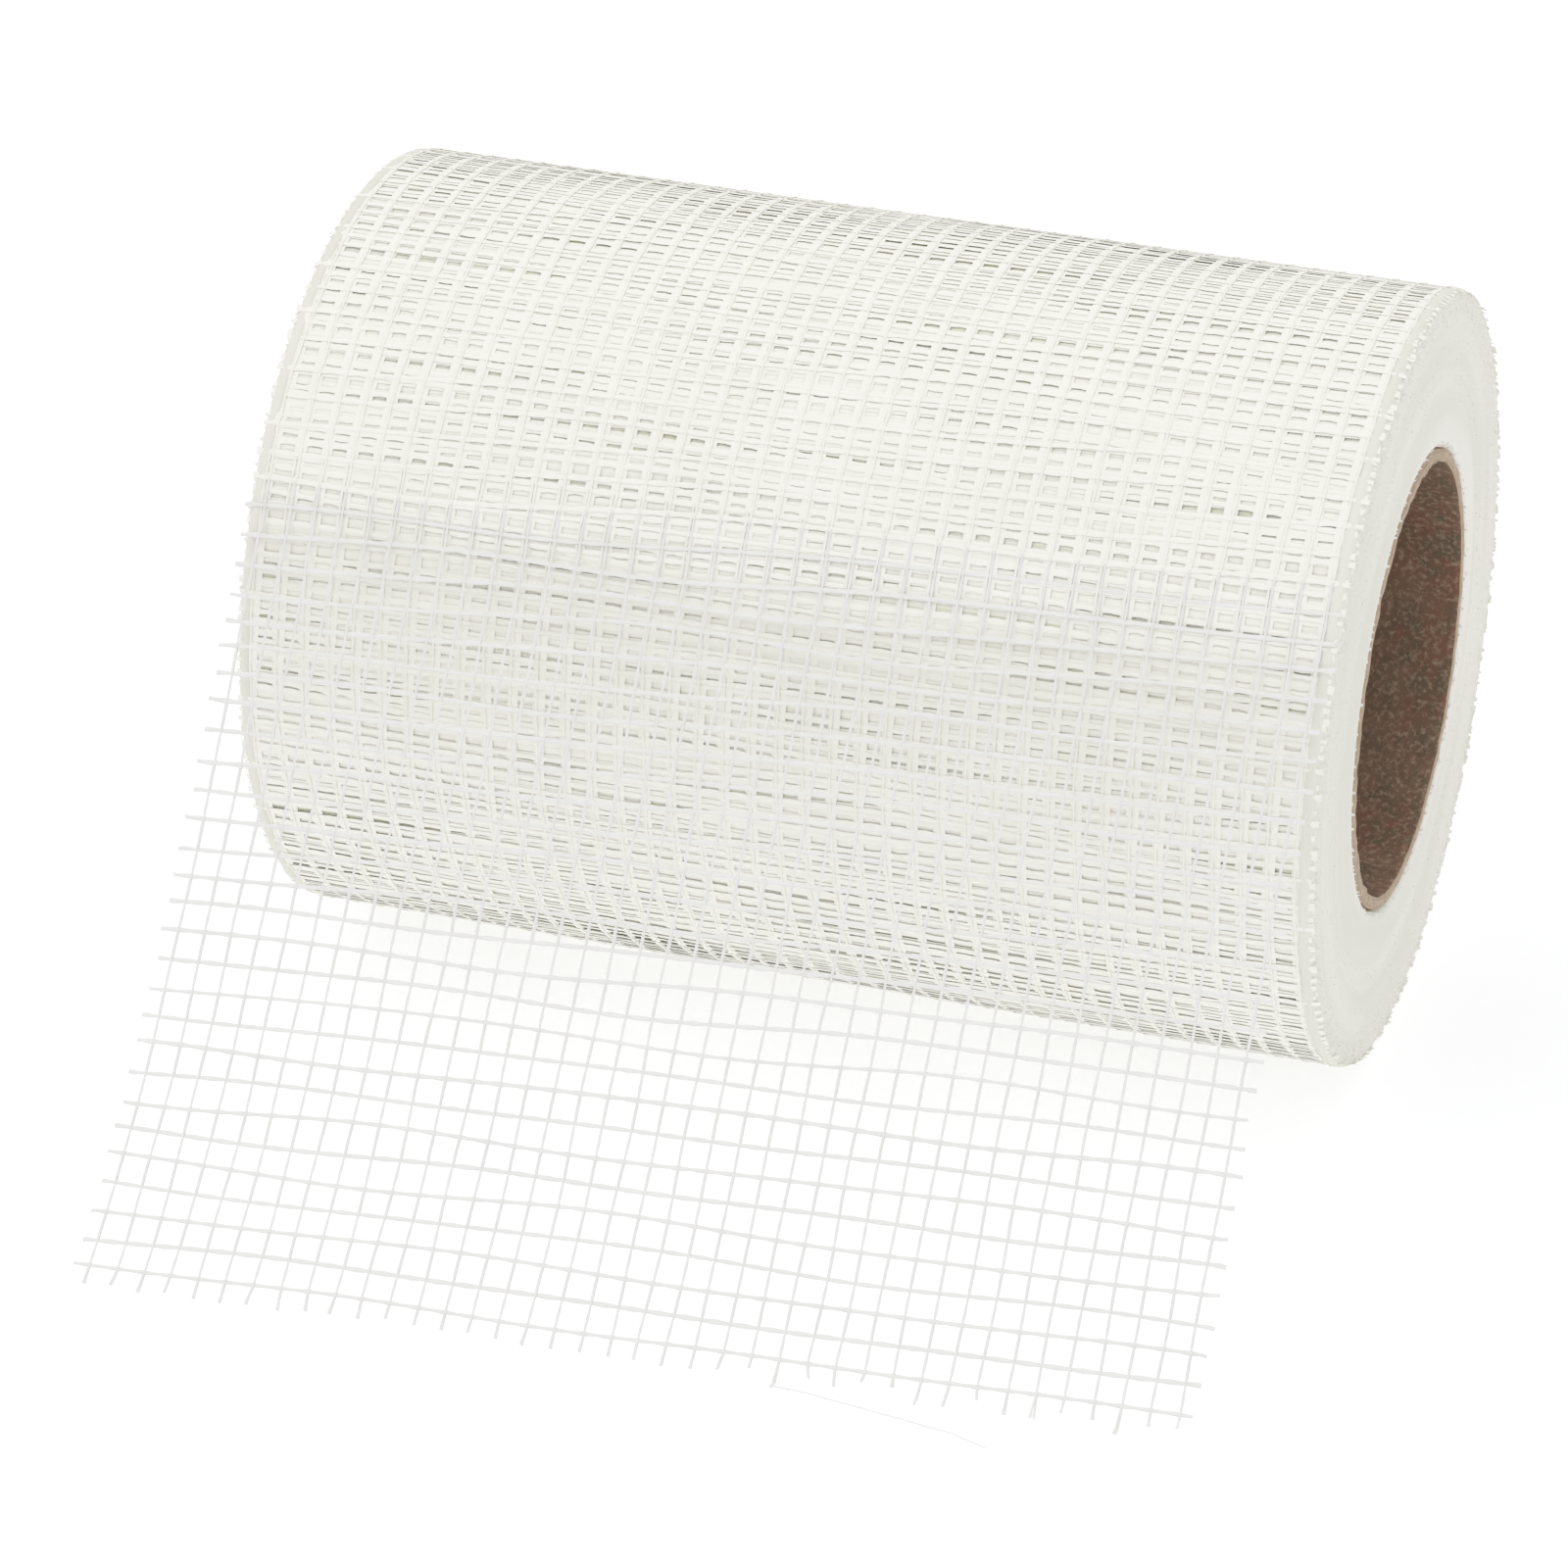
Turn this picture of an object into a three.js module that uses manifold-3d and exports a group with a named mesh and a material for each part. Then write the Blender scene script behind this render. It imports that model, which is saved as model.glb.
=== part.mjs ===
// Roll of open fiberglass mesh on a cardboard core, lying on its side with its loose end unrolled in front.
// Millimetres, +Z up. The roll's axis runs along X, and the loose end comes down towards -Y.
// The origin is on the floor under the middle of the roll, where the roll touches the floor.

import * as THREE from 'three';
import { mergeVertices } from 'three/addons/utils/BufferGeometryUtils.js';
import Module from 'manifold-3d';

// Wound web
const WEB_WIDTH = 200;
const ROLL_DIAMETER = 142.6;
const WEB_THICKNESS = 0.6;

// Cardboard core
const CORE_BORE = 79.6;
const CORE_WALL = 2.2;
const CORE_RECESS = 0.5;
const SEAT_GAP = 0.3;

// Rings that show the turns on both ends
const TURN_RINGS = 5;
const RING_GROOVE_WIDTH = 1.2;
const RING_GROOVE_DEPTH = 0.8;

// Loose end at the roll's left end (-X) and right end (+X): how many degrees above the axis it leaves the
// roll, how high over the floor it starts to flatten, and how far in front of the roll it meets the floor
const LEFT_LEAVE_ANGLE = 34.2;
const RIGHT_LEAVE_ANGLE = 36.3;
const LEFT_FLATTEN_HEIGHT = 22;
const RIGHT_FLATTEN_HEIGHT = 45;
const LEFT_FOOT_AHEAD = 86.1;
const RIGHT_FOOT_AHEAD = 72.2;
const LAP_ANGLE = 12;

// Plain grid of openings in the loose end, with strips between them that stand for the mesh's yarns
const OPENINGS_ACROSS = 12;
const OPENINGS_ALONG = 9;
const STRIP_WIDTH = 2.5;

// Facets
const ROUND_SEGMENTS = 72;
const LAP_ROWS = 3;
const ROWS_PER_OPENING = 2;

const degrees = THREE.MathUtils.degToRad;
const rollRadius = ROLL_DIAMETER / 2;
const coreInnerRadius = CORE_BORE / 2;
const coreOuterRadius = coreInnerRadius + CORE_WALL;
const windingInnerRadius = coreOuterRadius + SEAT_GAP;
const facetStep = (2 * Math.PI) / ROUND_SEGMENTS;

// The roll rests on the flat of its lowest facet.
const axisHeight = rollRadius * Math.cos(facetStep / 2);

// How far past the leave line the loose end's inner face comes clear of the roll
const clearLength = Math.sqrt(rollRadius * WEB_THICKNESS);

/** A solid turned around the X axis from a closed outline of (radius, x) points. */
function turnedSolid(outline) {
  const closed = [...outline, outline[0]];
  const geometry = new THREE.LatheGeometry(closed, ROUND_SEGMENTS, facetStep / 2);
  return geometry.rotateZ(-Math.PI / 2);
}

/** The outline of one end face, from the outer rim to the bore, with a V groove at each ring. */
function endFace(x, inward) {
  const points = [new THREE.Vector2(rollRadius, x)];
  const ringPitch = (rollRadius - windingInnerRadius) / (TURN_RINGS + 1);
  for (let ring = TURN_RINGS; ring >= 1; ring -= 1) {
    const radius = windingInnerRadius + ring * ringPitch;
    points.push(new THREE.Vector2(radius + RING_GROOVE_WIDTH / 2, x));
    points.push(new THREE.Vector2(radius, x + inward * RING_GROOVE_DEPTH));
    points.push(new THREE.Vector2(radius - RING_GROOVE_WIDTH / 2, x));
  }
  points.push(new THREE.Vector2(windingInnerRadius, x));
  return points;
}

/** The wound body of the web, with its bore and the rings of its turns on both ends. */
function windingGeometry() {
  const rightEnd = endFace(WEB_WIDTH / 2, -1);
  const leftEnd = endFace(-WEB_WIDTH / 2, 1).reverse();
  return turnedSolid([...rightEnd, ...leftEnd]);
}

/** The cardboard tube that the web is wound on. */
function coreGeometry() {
  const halfLength = WEB_WIDTH / 2 - CORE_RECESS;
  return turnedSolid([
    new THREE.Vector2(coreOuterRadius, -halfLength),
    new THREE.Vector2(coreOuterRadius, halfLength),
    new THREE.Vector2(coreInnerRadius, halfLength),
    new THREE.Vector2(coreInnerRadius, -halfLength),
  ]);
}

/**
 * The edges of strips and openings that take turns from start to end, with a strip first and last. Each is
 * {at, open}, and open says whether an opening follows it. parts is the number of facets along an opening.
 */
function stripEdges(start, end, openings, parts) {
  const pitch = (end - start - STRIP_WIDTH) / openings;
  const part = (pitch - STRIP_WIDTH) / parts;
  const edges = [];
  for (let opening = 0; opening < openings; opening += 1) {
    const strip = start + opening * pitch;
    edges.push({ at: strip, open: false });
    for (let step = 0; step < parts; step += 1) {
      edges.push({ at: strip + STRIP_WIDTH + step * part, open: true });
    }
  }
  edges.push({ at: end - STRIP_WIDTH, open: false });
  edges.push({ at: end, open: false });
  return edges;
}

/**
 * The middle line of the last turn and the loose end across one place of the width, as {point, normal, open}
 * rows in the plane of the roll's section, measured from the axis. share is 0 at the left end and 1 at the
 * right, and open says whether the openings follow the row.
 */
function sectionRows(share) {
  const leave = degrees(THREE.MathUtils.lerp(LEFT_LEAVE_ANGLE, RIGHT_LEAVE_ANGLE, share));
  const flatten = THREE.MathUtils.lerp(LEFT_FLATTEN_HEIGHT, RIGHT_FLATTEN_HEIGHT, share);
  const ahead = THREE.MathUtils.lerp(LEFT_FOOT_AHEAD, RIGHT_FOOT_AHEAD, share);
  const rows = [];
  for (let row = 0; row < LAP_ROWS; row += 1) {
    const angle = leave + degrees(LAP_ANGLE) * (1 - row / LAP_ROWS);
    const normal = new THREE.Vector2(-Math.cos(angle), Math.sin(angle));
    rows.push({ point: normal.clone().multiplyScalar(rollRadius), normal, open: false });
  }
  const start = new THREE.Vector2(-Math.cos(leave), Math.sin(leave)).multiplyScalar(rollRadius);
  const tangent = new THREE.Vector2(-Math.sin(leave), -Math.cos(leave));
  const leadLength = (start.y + axisHeight - flatten) / Math.cos(leave);
  const lead = start.clone().addScaledVector(tangent, leadLength);
  const foot = new THREE.Vector2(-rollRadius - ahead, -axisHeight);
  const footSlope = foot.clone().sub(lead).normalize();
  foot.y += (WEB_THICKNESS / 2) * Math.abs(footSlope.x);
  const free = new THREE.QuadraticBezierCurve(start, lead, foot);
  const length = free.getLength();
  const edges = stripEdges(clearLength, length, OPENINGS_ALONG, ROWS_PER_OPENING);
  for (const { at, open } of [{ at: 0, open: false }, ...edges]) {
    const along = free.getTangentAt(at / length);
    rows.push({ point: free.getPointAt(at / length), normal: new THREE.Vector2(along.y, -along.x), open });
  }
  return rows;
}

/** The last turn's lap and the loose end, as one closed sheet of the web's thickness with its openings. */
function looseEndGeometry() {
  const columns = stripEdges(0, WEB_WIDTH, OPENINGS_ACROSS, 1).map(({ at, open }) => {
    return { x: at - WEB_WIDTH / 2, rows: sectionRows(at / WEB_WIDTH), open };
  });
  const rowCount = columns[0].rows.length;
  const lastColumn = columns.length - 1;
  const lastRow = rowCount - 1;
  const positions = [];
  for (const side of [1, -1]) {
    for (const { x, rows } of columns) {
      for (const { point, normal } of rows) {
        const shift = (side * WEB_THICKNESS) / 2;
        positions.push(x, point.x + normal.x * shift, point.y + normal.y * shift);
      }
    }
  }
  const index = [];
  const at = (side, column, row) => (side * columns.length + column) * rowCount + row;
  const quad = (a, b, c, d) => index.push(a, b, c, a, c, d);
  const wall = (column, row, nextColumn, nextRow) => {
    quad(at(0, column, row), at(0, nextColumn, nextRow), at(1, nextColumn, nextRow), at(1, column, row));
  };
  const isSolid = (column, row) => {
    const inside = column >= 0 && column < lastColumn && row >= 0 && row < lastRow;
    return inside && !(columns[column].open && columns[column].rows[row].open);
  };
  for (let column = 0; column < lastColumn; column += 1) {
    for (let row = 0; row < lastRow; row += 1) {
      if (!isSolid(column, row)) continue;
      const nextColumn = column + 1;
      const nextRow = row + 1;
      quad(at(0, column, row), at(0, column, nextRow), at(0, nextColumn, nextRow), at(0, nextColumn, row));
      quad(at(1, column, row), at(1, nextColumn, row), at(1, nextColumn, nextRow), at(1, column, nextRow));
      if (!isSolid(column, row - 1)) wall(column, row, nextColumn, row);
      if (!isSolid(nextColumn, row)) wall(nextColumn, row, nextColumn, nextRow);
      if (!isSolid(column, nextRow)) wall(nextColumn, nextRow, column, nextRow);
      if (!isSolid(column - 1, row)) wall(column, nextRow, column, row);
    }
  }
  const geometry = new THREE.BufferGeometry();
  geometry.setAttribute('position', new THREE.Float32BufferAttribute(positions, 3));
  geometry.setIndex(index);
  return geometry;
}

const wasm = await Module();
wasm.setup();

/** A closed geometry as a solid that can be joined. */
function solidFrom(geometry) {
  geometry.deleteAttribute('normal');
  geometry.deleteAttribute('uv');
  const merged = mergeVertices(geometry);
  return new wasm.Manifold(new wasm.Mesh({
    numProp: 3,
    vertProperties: new Float32Array(merged.attributes.position.array),
    triVerts: new Uint32Array(merged.index.array),
  }));
}

/** The surface of a solid as a geometry. */
function geometryFrom(solid) {
  const { vertProperties, triVerts } = solid.getMesh();
  const geometry = new THREE.BufferGeometry();
  geometry.setAttribute('position', new THREE.Float32BufferAttribute(vertProperties, 3));
  geometry.setIndex(Array.from(triVerts));
  geometry.computeVertexNormals();
  return geometry;
}

/** One named piece, lifted from the roll's axis frame to its place over the floor. */
function piece(name, geometry, material) {
  const mesh = new THREE.Mesh(geometry, material);
  mesh.name = name;
  mesh.position.set(0, 0, axisHeight);
  return mesh;
}

const fiberglass = new THREE.MeshStandardMaterial({ color: 0xe9e8e1, roughness: 0.55, metalness: 0 });
const cardboard = new THREE.MeshStandardMaterial({ color: 0x7a6452, roughness: 0.9, metalness: 0 });

const web = solidFrom(windingGeometry()).add(solidFrom(looseEndGeometry()));

const roll = new THREE.Group();
roll.add(piece('mesh_web', geometryFrom(web), fiberglass));
roll.add(piece('core_tube', coreGeometry(), cardboard));

export default roll;
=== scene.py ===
"""Dresses a roll of open fiberglass mesh that lies on its side with its loose end unrolled in front.

Everything is in metres in the part's own frame: X along the roll's axis, -Y towards the loose end and +Z up,
with the origin on the floor under the middle of the roll.
"""

import logging
import math
from dataclasses import dataclass, field
from enum import Enum

import bpy
import numpy as np
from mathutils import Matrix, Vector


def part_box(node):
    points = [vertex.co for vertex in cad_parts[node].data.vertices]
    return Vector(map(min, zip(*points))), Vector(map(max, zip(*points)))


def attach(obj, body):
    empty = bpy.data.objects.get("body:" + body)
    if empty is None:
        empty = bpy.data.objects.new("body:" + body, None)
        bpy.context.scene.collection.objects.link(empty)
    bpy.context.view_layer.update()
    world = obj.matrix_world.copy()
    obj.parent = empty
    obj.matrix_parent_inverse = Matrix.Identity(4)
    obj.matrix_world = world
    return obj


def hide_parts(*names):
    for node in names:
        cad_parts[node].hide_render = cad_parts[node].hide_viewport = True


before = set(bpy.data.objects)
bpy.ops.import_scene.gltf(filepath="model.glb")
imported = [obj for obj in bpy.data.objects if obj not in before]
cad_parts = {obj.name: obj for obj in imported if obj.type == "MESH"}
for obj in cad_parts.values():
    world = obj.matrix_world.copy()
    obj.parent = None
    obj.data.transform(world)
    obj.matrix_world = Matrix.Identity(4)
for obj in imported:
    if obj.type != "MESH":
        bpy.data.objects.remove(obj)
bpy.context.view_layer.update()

MM = 0.001
FULL_TURN = 2 * math.pi
BODY = "root"
WHITE = (1.0, 1.0, 1.0, 1.0)

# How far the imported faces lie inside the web's edges
FACE_DEPTH = 0.6 * MM

# How far the texture moves on from one yarn to the next, in metres
TEXTURE_STEP = 0.37

Colour = tuple[float, float, float, float]
Scale = tuple[float, float, float]
Material = bpy.types.Material
Socket = bpy.types.NodeSocket

log = logging.getLogger("mesh_roll")


class Side(Enum):
    """The two ends of the roll, by the direction in which their faces look along X."""

    LEFT = -1
    RIGHT = 1


class Section(Enum):
    """Cross-sections of a yarn, as (across, out) corners in shares of its width and thickness."""

    DIAMOND = ((-0.5, 0.0), (0.0, -0.5), (0.5, 0.0), (0.0, 0.5))
    RIBBON = ((-0.5, 0.0), (-0.27, -0.44), (0.27, -0.44), (0.5, 0.0), (0.27, 0.44), (-0.27, 0.44))


def unit(vectors: np.ndarray) -> np.ndarray:
    """Scale vectors to length one.

    Args:
        vectors: Vectors along the last axis.

    Returns:
        The same vectors at unit length.
    """
    smallest = 1e-12
    return vectors / np.maximum(np.linalg.norm(vectors, axis=-1, keepdims=True), smallest)


def smooth_step(low: float, high: float, value: np.ndarray) -> np.ndarray:
    """Rise smoothly from 0 at low to 1 at high.

    Args:
        low: Where the rise starts.
        high: Where the rise ends.
        value: Where to read it.

    Returns:
        The height of the rise at each value.
    """
    share = np.clip((value - low) / (high - low), 0.0, 1.0)
    return share * share * (3 - 2 * share)


@dataclass(frozen=True)
class Wander:
    """A smooth random shift over two coordinates, made of sine waves.

    reach is the usual largest shift, and the two wavelengths are the typical ones along each coordinate.
    """

    seed: int
    reach: float
    first_wavelength: float
    second_wavelength: float
    waves: int = 6
    rate_spread: float = 0.35

    def at(self, first: np.ndarray, second: np.ndarray) -> np.ndarray:
        """Read the shift.

        Args:
            first: Places along the first coordinate, in metres.
            second: Places along the second coordinate, in metres.

        Returns:
            The shift at each place, in metres.
        """
        rng = np.random.default_rng(self.seed)
        shift = np.zeros(np.broadcast(first, second).shape)
        for _ in range(self.waves):
            first_rate = rng.normal(1.0, self.rate_spread) * rng.choice((-1, 1)) / self.first_wavelength
            second_rate = rng.normal(1.0, self.rate_spread) / self.second_wavelength
            shift = shift + np.sin(FULL_TURN * (first * first_rate + second * second_rate + rng.random()))
        return shift * self.reach / math.sqrt(self.waves)


class MeshBuilder:
    """Collects grids of quads with their texture places and makes one object of them."""

    def __init__(self) -> None:
        """Start with nothing collected."""
        self._points: list[np.ndarray] = []
        self._quads: list[np.ndarray] = []
        self._places: list[np.ndarray] = []
        self._slots: list[np.ndarray] = []
        self._count = 0

    def _collect(self, points: np.ndarray, quads: np.ndarray, places: np.ndarray, slots: np.ndarray) -> None:
        """Add quads to what is collected.

        Args:
            points: Corners of the quads.
            quads: Four point numbers for each quad, counted from the first of these points.
            places: Four texture places for each quad.
            slots: Material index of each quad.
        """
        self._points.append(points.reshape(-1, 3))
        self._quads.append(quads + self._count)
        self._places.append(places)
        self._slots.append(slots)
        self._count += points.size // 3

    def add_yarns(self, yarns: "Yarns", section: Section, material: int = 0) -> None:
        """Add closed yarns of one cross-section.

        Args:
            yarns: The yarns' lines, frames and sizes.
            section: Their cross-section.
            material: Index of their material.
        """
        corners = np.array(section.value)
        count, stations, sides = yarns.centres.shape[0], yarns.centres.shape[1], len(corners)
        span = yarns.widths[..., None, None] * corners[:, 0, None] * yarns.across[:, :, None, :]
        rise = yarns.thicknesses[..., None, None] * corners[:, 1, None] * yarns.out[:, :, None, :]
        points = yarns.centres[:, :, None, :] + span + rise
        step = np.linalg.norm(np.diff(yarns.centres, axis=1), axis=2)
        along = np.concatenate([np.zeros((count, 1)), np.cumsum(step, axis=1)], axis=1)
        along += np.arange(count)[:, None] * TEXTURE_STEP
        row, side = np.meshgrid(np.arange(stations - 1), np.arange(sides), indexing="ij")
        following = (side + 1) % sides
        near, far = row * sides, (row + 1) * sides
        wall = np.stack([near + side, near + following, far + following, far + side], axis=-1)
        wall = wall.reshape(-1, 4)
        last = (stations - 1) * sides
        caps = []
        for corner in range(1, sides - 2, 2):
            caps.append([0, corner + 2, corner + 1, corner])
            caps.append([last, last + corner, last + corner + 1, last + corner + 2])
        quads = np.vstack([wall, np.array(caps)])
        rows = np.stack([row, row, row + 1, row + 1], axis=-1).reshape(-1, 4)
        turns = np.stack([side, side + 1, side + 1, side], axis=-1).reshape(-1, 4) / sides
        cap_rows = np.where(np.array(caps) < sides, 0, stations - 1)
        rows = np.vstack([rows, cap_rows])
        turns = np.vstack([turns, (np.array(caps) % sides) / sides])
        places = np.stack([along[:, rows], np.broadcast_to(turns, (count, *turns.shape))], axis=-1)
        shifts = np.arange(count)[:, None, None] * stations * sides
        every = (quads[None] + shifts).reshape(-1, 4)
        self._collect(points, every, places.reshape(-1, 4, 2), np.full(len(every), material))

    def add_turned(self, outline: np.ndarray, segments: int, height: float, slots: np.ndarray,
                   swell: np.ndarray | None = None) -> None:
        """Add a closed solid turned about the roll's axis.

        Args:
            outline: Closed outline as (x, radius) points, without the first repeated.
            segments: Steps round the axis.
            height: Height of the axis over the floor.
            slots: Material index of the stretch that starts at each outline point.
            swell: Shift of (x, radius) for each step round and each outline point, or None.
        """
        angles = np.arange(segments) * FULL_TURN / segments
        rings = np.broadcast_to(outline, (segments, *outline.shape)).copy()
        if swell is not None:
            rings = rings + swell
        x, radius = rings[..., 0], rings[..., 1]
        around = angles[:, None]
        points = np.stack([x, radius * np.cos(around), height + radius * np.sin(around)], axis=-1)
        size = len(outline)
        ring, spot = np.meshgrid(np.arange(segments), np.arange(size), indexing="ij")
        next_spot = (spot + 1) % size
        near, far = ring * size, (ring + 1) % segments * size
        quads = np.stack([near + spot, near + next_spot, far + next_spot, far + spot], axis=-1)
        quads = quads.reshape(-1, 4)
        reach = np.linalg.norm(np.diff(np.vstack([outline, outline[:1]]), axis=0), axis=1)
        run = np.concatenate([[0.0], np.cumsum(reach)])
        round_it = np.arange(segments + 1) * FULL_TURN / segments * outline[:, 1].max()
        places = np.stack(
            [
                np.stack([run[spot], run[spot + 1], run[spot + 1], run[spot]], axis=-1),
                np.stack([round_it[ring], round_it[ring], round_it[ring + 1], round_it[ring + 1]], axis=-1),
            ],
            axis=-1,
        ).reshape(-1, 4, 2)
        self._collect(points, quads, places, np.tile(slots, segments))

    def make(self, name: str, materials: list[Material], smooth: bool = False) -> bpy.types.Object:
        """Make the object.

        Args:
            name: The piece's name.
            materials: Its materials, by index.
            smooth: Whether light blends over its edges.

        Returns:
            The object, linked to the scene.
        """
        points, quads = np.vstack(self._points), np.vstack(self._quads)
        places, slots = np.vstack(self._places), np.concatenate(self._slots)
        mesh = bpy.data.meshes.new(name)
        mesh.vertices.add(len(points))
        mesh.vertices.foreach_set("co", points.ravel())
        mesh.loops.add(quads.size)
        mesh.loops.foreach_set("vertex_index", quads.ravel().astype(np.int32))
        mesh.polygons.add(len(quads))
        mesh.polygons.foreach_set("loop_start", np.arange(0, quads.size, 4, dtype=np.int32))
        mesh.polygons.foreach_set("use_smooth", np.full(len(quads), smooth))
        mesh.polygons.foreach_set("material_index", slots.astype(np.int32))
        layer = mesh.uv_layers.new(name="along")
        layer.data.foreach_set("uv", places.ravel())
        mesh.update(calc_edges=True)
        mesh.validate()
        for material in materials:
            mesh.materials.append(material)
        piece = bpy.data.objects.new(name, mesh)
        bpy.context.scene.collection.objects.link(piece)
        return piece


@dataclass
class Yarns:
    """Yarns with the same number of stations.

    centres, across and out hold a vector for each yarn and station, and widths and thicknesses a length.
    """

    centres: np.ndarray
    across: np.ndarray
    out: np.ndarray
    widths: np.ndarray
    thicknesses: np.ndarray


class Nodes:
    """Short calls for the nodes of one material."""

    def __init__(self, name: str) -> None:
        """Make a material that holds only a Principled shader and its output."""
        self.material = bpy.data.materials.new(name)
        self.material.use_nodes = True
        self.tree = self.material.node_tree
        self.shader = self.tree.nodes["Principled BSDF"]

    def add(self, kind: str, settings: dict | None = None, **inputs: object) -> bpy.types.Node:
        """Add a node.

        Args:
            kind: The node's type.
            settings: Properties of the node to set, by name.
            inputs: Sockets to set or link, by name with underscores for spaces, or by index as _0, _1 and so
                on.

        Returns:
            The new node.
        """
        node = self.tree.nodes.new(kind)
        for key, value in (settings or {}).items():
            setattr(node, key, value)
        for key, value in inputs.items():
            socket = node.inputs[int(key[1:])] if key[1:].isdigit() else node.inputs[key.replace("_", " ")]
            if isinstance(value, Socket):
                self.tree.links.new(value, socket)
            else:
                socket.default_value = value
        return node

    def noise(self, place: Socket, scale: float, detail: float = 3.0,
              roughness: float = 0.55) -> Socket:
        """Add a noise texture and return its value."""
        node = self.add("ShaderNodeTexNoise", Vector=place, Scale=scale, Detail=detail, Roughness=roughness)
        return node.outputs[0]

    def stretched(self, place: Socket, scale: Scale) -> Socket:
        """Scale texture places along each axis and return them."""
        return self.add("ShaderNodeMapping", Vector=place, Scale=scale).outputs[0]

    def math(self, operation: str, first: object, second: object = 0.0) -> Socket:
        """Add a math node for one or two values and return its result."""
        return self.add("ShaderNodeMath", {"operation": operation}, _0=first, _1=second).outputs[0]

    def mean(self, share: float, first: Socket, second: Socket) -> Socket:
        """Add up a share of the first value and the rest of the second, and return the sum."""
        rest = 1 - share
        return self.math("ADD", self.math("MULTIPLY", first, share), self.math("MULTIPLY", second, rest))

    def radius(self, body: Socket, height: float) -> Socket:
        """Find how far body coordinates lie from the roll's axis.

        Args:
            body: The piece's own coordinates.
            height: Height of the axis over the floor.

        Returns:
            The distance, in metres.
        """
        settings = {"operation": "MULTIPLY_ADD"}
        flat = self.add("ShaderNodeVectorMath", settings, _0=body, _1=(0, 1, 1), _2=(0, 0, -height))
        length = self.add("ShaderNodeVectorMath", {"operation": "LENGTH"}, _0=flat.outputs[0])
        return length.outputs["Value"]

    def ramp(self, value: Socket, low: float, high: float) -> Socket:
        """Map a value from low and high to 0 and 1, held within them, and return it."""
        node = self.add("ShaderNodeMapRange", {"clamp": True}, Value=value, From_Min=low, From_Max=high)
        return node.outputs[0]

    def blend(self, share: object, first: object, second: object) -> Socket:
        """Mix two colours.

        Args:
            share: Share of the second colour.
            first: The first colour.
            second: The second colour.

        Returns:
            The mixed colour.
        """
        node = self.add("ShaderNodeMix", {"data_type": "RGBA"})
        for socket, value in zip((node.inputs[0], node.inputs[6], node.inputs[7]), (share, first, second)):
            if isinstance(value, Socket):
                self.tree.links.new(value, socket)
            else:
                socket.default_value = value
        return node.outputs[2]

    def bump(self, height: Socket, strength: float, distance: float,
             under: Socket | None = None) -> Socket:
        """Add a bump.

        Args:
            height: The bump's height map.
            strength: How strongly it shows.
            distance: How high it is, in metres.
            under: Normal of a bump that it lies over, or None.

        Returns:
            The bump's normal.
        """
        node = self.add("ShaderNodeBump", Height=height, Strength=strength, Distance=distance)
        if under is not None:
            self.tree.links.new(under, node.inputs["Normal"])
        return node.outputs[0]

    def coordinates(self, kind: str) -> Socket:
        """Return the named texture coordinates."""
        return self.add("ShaderNodeTexCoord").outputs[kind]

    def finish(self, colour: Socket, roughness: object, normal: Socket, specular: float) -> Material:
        """Connect and set the shader.

        Args:
            colour: Its colour.
            roughness: Its roughness, as a socket or a number.
            normal: Its normal.
            specular: Its specular level.

        Returns:
            The finished material.
        """
        self.tree.links.new(colour, self.shader.inputs["Base Color"])
        if isinstance(roughness, Socket):
            self.tree.links.new(roughness, self.shader.inputs["Roughness"])
        else:
            self.shader.inputs["Roughness"].default_value = roughness
        self.tree.links.new(normal, self.shader.inputs["Normal"])
        self.shader.inputs["Specular IOR Level"].default_value = specular
        return self.material


@dataclass(frozen=True)
class GlassYarnFinish:
    """Coated glass yarn: near white, with fine filaments along it and slightly uneven coating."""

    name: str
    bright: Colour
    shaded: Colour
    filament_scale: Scale = (350.0, 9.0, 1.0)
    filament_share: float = 0.55
    filament_bump: float = 0.4
    filament_height: float = 0.02 * MM
    patch_scale: float = 90.0
    tone_low: float = 0.55
    tone_high: float = 1.05
    roughness: float = 0.48
    roughness_spread: float = 0.25
    specular: float = 0.15

    def material(self) -> Material:
        """Make the material.

        Returns:
            The material.
        """
        nodes = Nodes(self.name)
        body, along = nodes.coordinates("Object"), nodes.coordinates("UV")
        filaments = nodes.noise(nodes.stretched(along, self.filament_scale), 1.0, 2.0)
        patches = nodes.noise(body, self.patch_scale, 3.0)
        tone = nodes.math("ADD", nodes.math("MULTIPLY", filaments, self.filament_share), patches)
        colour = nodes.blend(nodes.ramp(tone, self.tone_low, self.tone_high), self.shaded, self.bright)
        roughness = nodes.math("ADD", nodes.math("MULTIPLY", patches, self.roughness_spread), self.roughness)
        normal = nodes.bump(filaments, self.filament_bump, self.filament_height)
        return nodes.finish(colour, roughness, normal, self.specular)


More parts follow.
